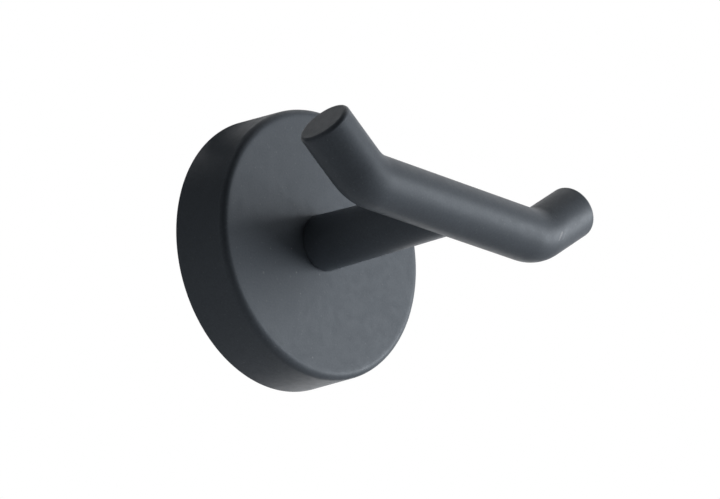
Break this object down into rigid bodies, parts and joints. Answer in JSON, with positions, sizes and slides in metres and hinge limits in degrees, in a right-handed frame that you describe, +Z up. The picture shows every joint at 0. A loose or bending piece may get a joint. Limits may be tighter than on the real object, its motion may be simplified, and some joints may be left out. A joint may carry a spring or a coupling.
{
  "type": "double robe hook",
  "caption": "Wall-mounted double robe hook: a round rosette carries a tapered stem and a round crossbar with both ends bent up, and locks onto a hidden wall bracket.",
  "frame": {"origin": "centre of the rosette on the plane of the wall", "axes": "+Y into the wall, so the hook stands out towards -Y; +Z up; +X to the right as seen from the room, along the crossbar"},
  "size_m": [0.0718, 0.0505, 0.0526],
  "materials": {
    "black_coat_rosette": "matte black powder coat with a fine grain",
    "black_coat_stem": "matte black powder coat with a fine grain",
    "black_coat_crossbar": "matte black powder coat with a fine grain",
    "plated_steel": "bright zinc plating",
    "raw_casting": "raw zinc die casting",
    "blackened_steel": "black oxide"
  },
  "bodies": {
    "root": {"rosette": "black_coat_rosette", "stem": "black_coat_stem", "crossbar": "black_coat_crossbar", "tie_screw": "plated_steel", "tie_washer": "plated_steel", "wall_bracket": "raw_casting", "grub_screw": "blackened_steel"}
  },
  "joints": []
}
